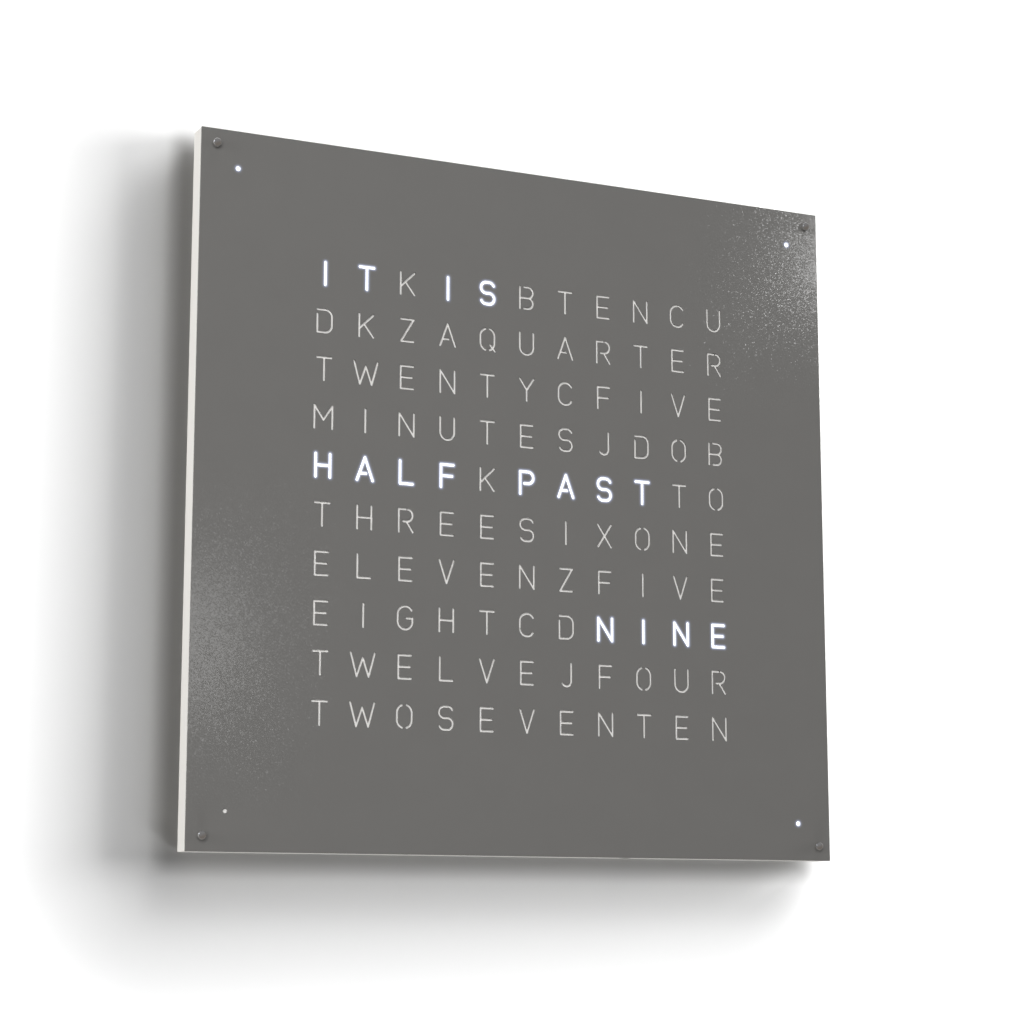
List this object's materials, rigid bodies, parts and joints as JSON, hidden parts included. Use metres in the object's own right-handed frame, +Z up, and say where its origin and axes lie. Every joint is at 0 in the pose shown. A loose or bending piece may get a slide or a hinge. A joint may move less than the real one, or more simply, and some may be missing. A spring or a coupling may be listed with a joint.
{
  "type": "word clock",
  "caption": "Square wall-hung word clock: slab case, thin front cover held by ball magnets, letter field lit through a cupped light grid, push buttons, wall bracket.",
  "frame": {"origin": "on the wall, midway between the two wall screws of the bracket; the face's middle is 151 mm below it", "axes": "+X to the viewer's right, +Y into the wall, +Z up; the face looks along -Y"},
  "size_m": [0.45, 0.0245, 0.4502],
  "materials": {
    "cover_coating": "fine-grained matt powder coat, warm mid grey",
    "ball_polish": "mirror-polished plating",
    "insert_steel": "turned",
    "opal_sheet": "opal, lets light through evenly",
    "white_moulding": "moulded, white",
    "circuit_board": "solder mask, green",
    "lit_led": "cool white LED",
    "chip_body": "moulded, black",
    "screw_steel": "zinc plated",
    "cable_jacket": "flat cable, grey",
    "lead_jacket": "twin lead, black",
    "case_lacquer": "fine fibre board, sprayed with satin off-white lacquer",
    "back_panel": "matt grey coated sheet",
    "capacitor_can": "bare can",
    "button_metal": "turned and satin anodised",
    "inlet_body": "moulded, black",
    "contact_brass": "plain",
    "clear_rod": "clear acrylic, polished end",
    "ferrite": "sintered, dark grey",
    "coil_wire": "enamelled copper wire",
    "rail_aluminium": "mill finish, bent sheet",
    "bracket_steel": "zinc plated, bent sheet",
    "bumper_rubber": "soft, black"
  },
  "bodies": {
    "bracket": {"wall_bracket": "bracket_steel"},
    "clock": {"steel_inserts": "insert_steel", "diffuser_sheet": "opal_sheet", "light_grid": "white_moulding", "led_board": "circuit_board", "letter_leds": "lit_led", "led_drivers": "chip_body", "led_board_screws": "screw_steel", "minute_light_discs": "opal_sheet", "minute_light_boards": "circuit_board", "minute_light_leds": "lit_led", "minute_light_cables": "cable_jacket", "case_frame": "case_lacquer", "back_cover": "back_panel", "back_cover_screws": "screw_steel", "control_board": "circuit_board", "control_board_spacers": "white_moulding", "control_board_screws": "screw_steel", "control_chips": "chip_body", "quartz_crystal": "screw_steel", "capacitors": "capacitor_can", "coin_cell_holder": "chip_body", "coin_cell": "screw_steel", "ribbon_cable": "cable_jacket", "cable_headers": "white_moulding", "button_switches": "chip_body", "power_inlet": "inlet_body", "power_inlet_pin": "contact_brass", "power_lead": "lead_jacket", "light_sensor": "chip_body", "sensor_board": "circuit_board", "sensor_window": "clear_rod", "sensor_lead": "cable_jacket", "ferrite_rod": "ferrite", "antenna_coil": "coil_wire", "antenna_clips": "white_moulding", "antenna_lead": "cable_jacket", "hanger_rail": "rail_aluminium", "hanger_rail_screws": "screw_steel", "wall_bumpers": "bumper_rubber"},
    "cover": {"front_cover": "cover_coating"},
    "ball_magnet_top_left": {"ball_magnet_top_left": "ball_polish"},
    "ball_magnet_top_right": {"ball_magnet_top_right": "ball_polish"},
    "ball_magnet_bottom_left": {"ball_magnet_bottom_left": "ball_polish"},
    "ball_magnet_bottom_right": {"ball_magnet_bottom_right": "ball_polish"},
    "button_left": {"button_left": "button_metal"},
    "button_middle": {"button_middle": "button_metal"},
    "button_right": {"button_right": "button_metal"}
  },
  "joints": [
    {"name": "lift_off_bracket", "type": "slide", "parent": "bracket", "child": "clock", "axis": [0, 0, 1], "range_m": [0, 0.014]},
    {"name": "cover_pull_off", "type": "slide", "parent": "clock", "child": "cover", "axis": [0, -1, 0], "range_m": [0, 0.06]},
    {"name": "ball_magnet_top_left_pull", "type": "slide", "parent": "cover", "child": "ball_magnet_top_left", "axis": [0, -1, 0], "range_m": [0, 0.03]},
    {"name": "ball_magnet_top_right_pull", "type": "slide", "parent": "cover", "child": "ball_magnet_top_right", "axis": [0, -1, 0], "range_m": [0, 0.03]},
    {"name": "ball_magnet_bottom_left_pull", "type": "slide", "parent": "cover", "child": "ball_magnet_bottom_left", "axis": [0, -1, 0], "range_m": [0, 0.03]},
    {"name": "ball_magnet_bottom_right_pull", "type": "slide", "parent": "cover", "child": "ball_magnet_bottom_right", "axis": [0, -1, 0], "range_m": [0, 0.03]},
    {"name": "button_left_press", "type": "slide", "parent": "clock", "child": "button_left", "axis": [0, 0, 1], "range_m": [0, 0.0006], "stiffness_N_per_m": 1500, "springref_m": -0.0005},
    {"name": "button_middle_press", "type": "slide", "parent": "clock", "child": "button_middle", "axis": [0, 0, 1], "range_m": [0, 0.0006], "stiffness_N_per_m": 1500, "springref_m": -0.0005},
    {"name": "button_right_press", "type": "slide", "parent": "clock", "child": "button_right", "axis": [0, 0, 1], "range_m": [0, 0.0006], "stiffness_N_per_m": 1500, "springref_m": -0.0005}
  ]
}
